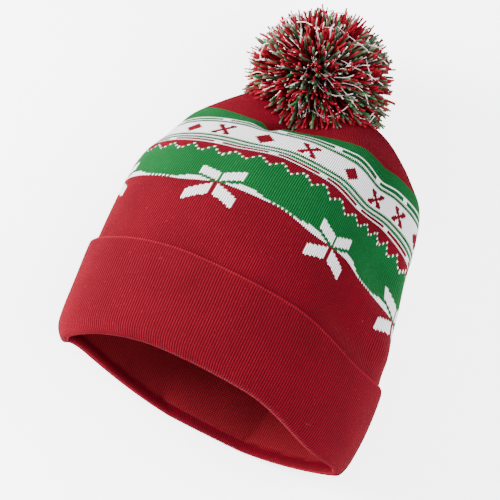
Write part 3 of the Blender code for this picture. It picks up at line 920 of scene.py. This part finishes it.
def lay_threads(material, random):
    """Long white threads that have worked loose and lie curled over the pompom."""
    count, rings = THREAD_COUNT, THREAD_RINGS
    side = unit(np.cross(PARTING, (0.0, 1.0, 0.0)))
    front = np.cross(side, PARTING)
    turn = random.uniform(0.0, 2 * math.pi, count)
    away = random.uniform(*THREAD_PLACES, count)
    heading = turn + random.normal(0.0, 0.8, count)
    curl = random.normal(0.0, THREAD_CURL, count)
    paths = np.zeros((count, rings, 3))
    across = np.stack((away * np.cos(turn), away * np.sin(turn)), axis=-1)
    step = random.uniform(*THREAD_STEPS, count)
    for ring in range(rings):
        distance = np.linalg.norm(across, axis=-1)
        out = across / np.maximum(distance, 1e-6)[:, None]
        rise = THREAD_RISE * smooth_step(distance / THREAD_RISE_OVER)
        reach = POMPOM_RADIUS * (THREAD_LOW + rise)
        direction = (np.cos(distance)[:, None] * PARTING
                     + np.sin(distance)[:, None] * (out[:, :1] * side + out[:, 1:] * front))
        paths[:, ring] = POMPOM_CENTRE + direction * reach[:, None]
        across = across + step[:, None] * np.stack((np.cos(heading), np.sin(heading)), axis=-1)
        heading = heading + curl + random.normal(0.0, THREAD_CURL, count)
    share = np.linspace(0.0, 1.0, rings)[None, :]
    frayed = 1.0 + 0.8 * smooth_step((share - 0.92) / 0.08)
    points, quads, uv = tubes(paths, np.full((count, rings), THREAD_RADIUS) * frayed, 4)
    points[:, 2] = np.maximum(points[:, 2], -BACK_DEPTH)
    mesh_piece("pompom_threads", points, quads, uv, [material], "pompom")


def build_pompom(materials):
    random = np.random.default_rng(POMPOM_SEED)
    skin = body_skin()
    grow_yarn(skin, materials, random)
    grow_white(skin, materials["white"], random)
    lay_threads(materials["white"], random)


TIE_TURNS, TIE_RINGS = 4, 72
TIE_THICKNESS = 0.0010       # radius of its yarn
TIE_COIL = 0.0042            # radius of its turns
TIE_UNEVEN, TIE_WANDER = 0.0012, 0.0022   # how much its turns differ in radius and in place
TIE_DEPTH, SHANK_LENGTH = 0.0075, 0.016   # from the gather into the crown and into the pompom


def build_tie(material):
    """A few turns of yarn round the gather inside, and the shank into the pompom."""
    middle = gather_centre()
    turn = np.linspace(0.0, 2 * math.pi * TIE_TURNS, TIE_RINGS)
    radius = TIE_COIL + TIE_UNEVEN * np.sin(turn * 0.75)
    coil = np.stack((middle[0] + radius * np.cos(turn),
                     middle[1] - TIE_DEPTH + TIE_WANDER * np.cos(turn * 0.5),
                     middle[2] + radius * np.sin(turn)), axis=-1)
    shank = np.linspace(coil[-1], middle + np.array((0.0, SHANK_LENGTH, 0.0)), TIE_RINGS)
    paths = np.stack((coil, shank))
    points, quads, uv = tubes(paths, np.full((2, TIE_RINGS), TIE_THICKNESS), 6, 0.4)
    mesh_piece("gather_tie", points, quads, uv, [material], "pompom_tie")


LINT_SEED = 5
LINT_COUNT, LINT_HEIGHT = 140, 0.00018
LINT_ON_CUFF = 0.42          # share of it on the cuff
LINT_CUFF_COURSES, LINT_BODY_COURSES = (5, 54), (-40, -2)
LINT_WALES, LINT_COURSES = 0.45, 0.55     # how far a fibre reaches, in wales and in courses
LINT_BOW, LINT_RADII = 0.0001, (0.00004, 0.00009, 0.00004)


def build_lint(material):
    """Short pale fibres caught on the knit."""
    random = np.random.default_rng(LINT_SEED)
    count = LINT_COUNT
    wale = random.uniform(-WALES / 2, WALES / 2, count)
    on_cuff = random.random(count) < LINT_ON_CUFF
    course = np.where(on_cuff, random.uniform(*LINT_CUFF_COURSES, count),
                      random.uniform(*LINT_BODY_COURSES, count))
    height = np.full(count, LINT_HEIGHT)

    def place(wale, course):
        return np.where(on_cuff[:, None], cuff_surface(wale, course, height),
                        body_surface(wale, course, height))

    start = place(wale, course)
    wale_to = wale + random.normal(0.0, LINT_WALES, count)
    end = place(wale_to, course + random.normal(0.0, LINT_COURSES, count))
    middle = (start + end) / 2 + random.normal(0.0, LINT_BOW, (count, 3))
    paths = np.stack((start, middle, end), axis=1)
    radii = np.broadcast_to(np.array(LINT_RADII), (count, 3))
    points, quads, uv = tubes(paths, radii, 4)
    points[:, 2] = np.maximum(points[:, 2], -BACK_DEPTH)
    mesh_piece("lint", points, quads, uv, [material], "crown")


# The stage

FLOOR_HALF = 6.0
FLOOR_GLOW = 3.0
WORLD_LIGHT = 1.05


def build_floor():
    """A plain pale floor."""
    mesh = bpy.data.meshes.new("floor")
    low, high = -FLOOR_HALF, FLOOR_HALF
    mesh.from_pydata([(low, low, 0), (high, low, 0), (high, high, 0), (low, high, 0)],
                     [], [(0, 1, 2, 3)])
    nodes = Nodes("pale_floor")
    place = nodes.add("ShaderNodeTexCoord").outputs["Object"]
    tint = nodes.mix(nodes.noise(place, 3.0), (0.90, 0.90, 0.90, 1.0), (0.93, 0.93, 0.93, 1.0))
    nodes.shade({"Base Color": tint, "Roughness": 0.9, "Specular IOR Level": 0.1,
                 "Emission Color": (1.0, 1.0, 1.0, 1.0), "Emission Strength": FLOOR_GLOW})
    mesh.materials.append(nodes.material)
    floor = linked_object("floor", mesh)


def camera_axes():
    """The picture's right, up and forward directions."""
    down = math.radians(90.0 - CAMERA_ELEVATION)
    roll = math.radians(CAMERA_ROLL)
    forward = Vector((0.0, math.sin(down), -math.cos(down)))
    level_up = Vector((0.0, math.cos(down), math.sin(down)))
    level_right = Vector((1.0, 0.0, 0.0))
    right = math.cos(roll) * level_right + math.sin(roll) * level_up
    up = -math.sin(roll) * level_right + math.cos(roll) * level_up
    return right, up, forward


def aim(item, place, target):
    """Places a lamp so that it shines at the target."""
    item.location = place
    item.rotation_euler = (target - place).to_track_quat("-Z", "Y").to_euler()


def build_camera():
    data = bpy.data.cameras.new("camera")
    data.sensor_width = SENSOR_WIDTH
    data.lens = SENSOR_WIDTH * CAMERA_DISTANCE / METRES_PER_PIXEL / PICTURE_PIXELS
    data.clip_end = 20.0
    camera = linked_object("camera", data)
    right, up, forward = camera_axes()
    middle = Vector(VIEW_MIDDLE) - Vector(ORIGIN)
    turn = Matrix((right, up, -forward)).transposed()
    camera.matrix_world = Matrix.Translation(middle - forward * CAMERA_DISTANCE) @ turn.to_4x4()
    bpy.context.scene.camera = camera


# Lamps by their place from the hat in the picture's right, up and towards the camera
LAMPS = (   # name, right, up, towards, size, power, colour
    ("key", -1.10, 0.50, 0.60, 0.7, 80.0, (1.0, 0.99, 0.98)),
    ("fill", 0.80, 0.10, 0.95, 1.2, 28.0, (0.97, 0.985, 1.0)),
    ("front", -0.15, -0.90, 0.85, 0.9, 8.0, (1.0, 1.0, 1.0)),
)


def build_lamps():
    right, up, forward = camera_axes()
    target = Vector((0.0, 0.0, 0.05))
    for name, to_right, to_up, towards, size, power, colour in LAMPS:
        data = bpy.data.lights.new(name, "AREA")
        data.shape = "DISK"
        data.size = size
        data.energy = power
        data.color = colour
        lamp = linked_object(name, data)
        aim(lamp, target + right * to_right + up * to_up - forward * towards, target)
    world = bpy.data.worlds.new("studio")
    world.use_nodes = True
    world.node_tree.nodes["Background"].inputs[0].default_value = (1.0, 1.0, 1.0, 1.0)
    world.node_tree.nodes["Background"].inputs[1].default_value = WORLD_LIGHT
    bpy.context.scene.world = world


def main():
    build_camera()
    build_floor()
    build_lamps()
    red = knit_material("red_wool", linear(114, 4, 25), linear(84, 2, 16), linear(170, 20, 44),
                        sheen=0.06)
    green = knit_material("green_wool", linear(18, 96, 44), linear(8, 70, 30),
                          linear(60, 136, 84), sheen=0.06)
    white = knit_material("white_wool", linear(244, 243, 246), linear(230, 226, 231),
                          linear(255, 255, 255))
    # a lighter red for the painted highlight along the cuff's folded edges
    painted_highlight = knit_material("highlit_edge_red_wool", linear(140, 14, 36), linear(118, 8, 27),
                         linear(190, 50, 70), sheen=0.1)
    # a lighter, greyer copy of the red for the inside: painted light, the haze in the opening
    inner = knit_material("inner_red_wool_painted_light", linear(138, 26, 38), linear(108, 18, 28),
                          linear(176, 50, 64), sheen=0.1)
    wools = [red, green, white]
    knit_piece("body_lower", body_surface, BODY_FROM, BANDS_FROM, FINE_STITCH, wools,
               chart=pattern_chart)
    knit_piece("body_bands", body_surface, BANDS_FROM, BANDS_TO, FINE_STITCH, wools,
               chart=pattern_chart)
    knit_piece("body_top", body_surface, BANDS_TO, BODY_TO, FINE_STITCH, wools)
    knit_piece("cuff_knit", cuff_surface, 0, CUFF_TO, FINE_STITCH, [red, painted_highlight],
               "cuff", chart=highlight_chart)
    knit_piece("inside_near", inside_surface, INSIDE_FROM, INSIDE_HALFWAY, PLAIN_STITCH, [inner])
    knit_piece("inside_far", inside_surface, INSIDE_HALFWAY, INSIDE_TO, PLAIN_STITCH, [inner],
               step=FAR_STEP)
    yarns = {
        "red": strand_material("red_yarn", linear(132, 4, 22), linear(72, 2, 12),
                               linear(184, 46, 60)),
        "green": strand_material("green_yarn", linear(56, 70, 46), linear(26, 36, 24),
                                 linear(150, 164, 138)),
        "leaf": strand_material("leaf_yarn", linear(22, 100, 46), linear(12, 56, 28),
                                linear(110, 165, 116)),
        "white": strand_material("white_yarn", linear(244, 226, 228), linear(222, 176, 182),
                                 linear(255, 250, 250)),
    }
    build_pompom(yarns)
    build_tie(yarns["red"])
    build_lint(strand_material("lint", linear(190, 84, 96), linear(160, 50, 64),
                               linear(214, 150, 156)))


main()
